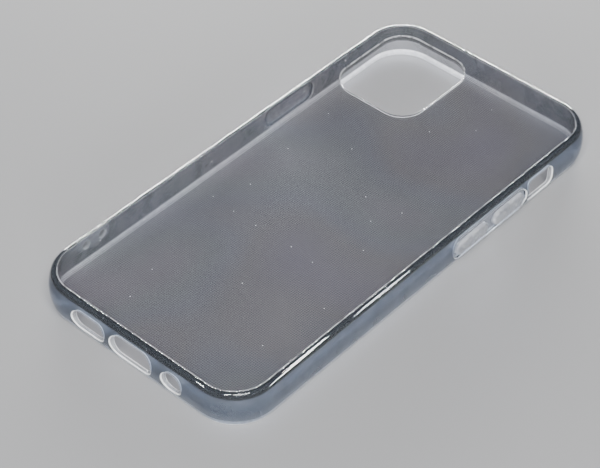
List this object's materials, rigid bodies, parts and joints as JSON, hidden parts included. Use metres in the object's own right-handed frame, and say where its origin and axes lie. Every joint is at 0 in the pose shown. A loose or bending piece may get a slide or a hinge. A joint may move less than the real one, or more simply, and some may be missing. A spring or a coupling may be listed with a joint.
{
  "type": "phone case",
  "caption": "Clear protective phone case with a hard back plate, soft bumper frame, press-through side buttons and a lanyard anchor.",
  "frame": {"origin": "centre of the bounding box at the front lip, z = 0 being the plane of the open side", "axes": "+Z out of the back of the case, +Y towards the camera end, +X towards the volume buttons"},
  "size_m": [0.0756, 0.15, 0.0112],
  "materials": {
    "hard_clear": "clear with a fine matt dot pattern inside",
    "soft_clear": "clear and glossy",
    "soft_frosted": "frosted"
  },
  "bodies": {
    "shell": {"back_plate": "hard_clear", "bumper_frame": "soft_clear", "power_button_web": "soft_clear", "volume_button_web": "soft_clear"},
    "power_pad": {"power_button": "soft_frosted"},
    "volume_up_pad": {"volume_up_button": "soft_frosted"},
    "volume_down_pad": {"volume_down_button": "soft_frosted"}
  },
  "joints": [
    {"name": "power_press", "type": "slide", "parent": "shell", "child": "power_pad", "axis": [1, 0, 0], "range_m": [0, 0.0004], "stiffness_N_per_m": 4000},
    {"name": "volume_up_press", "type": "slide", "parent": "shell", "child": "volume_up_pad", "axis": [-1, 0, 0], "range_m": [0, 0.0004], "stiffness_N_per_m": 4000},
    {"name": "volume_down_press", "type": "slide", "parent": "shell", "child": "volume_down_pad", "axis": [-1, 0, 0], "range_m": [0, 0.0004], "stiffness_N_per_m": 4000}
  ]
}
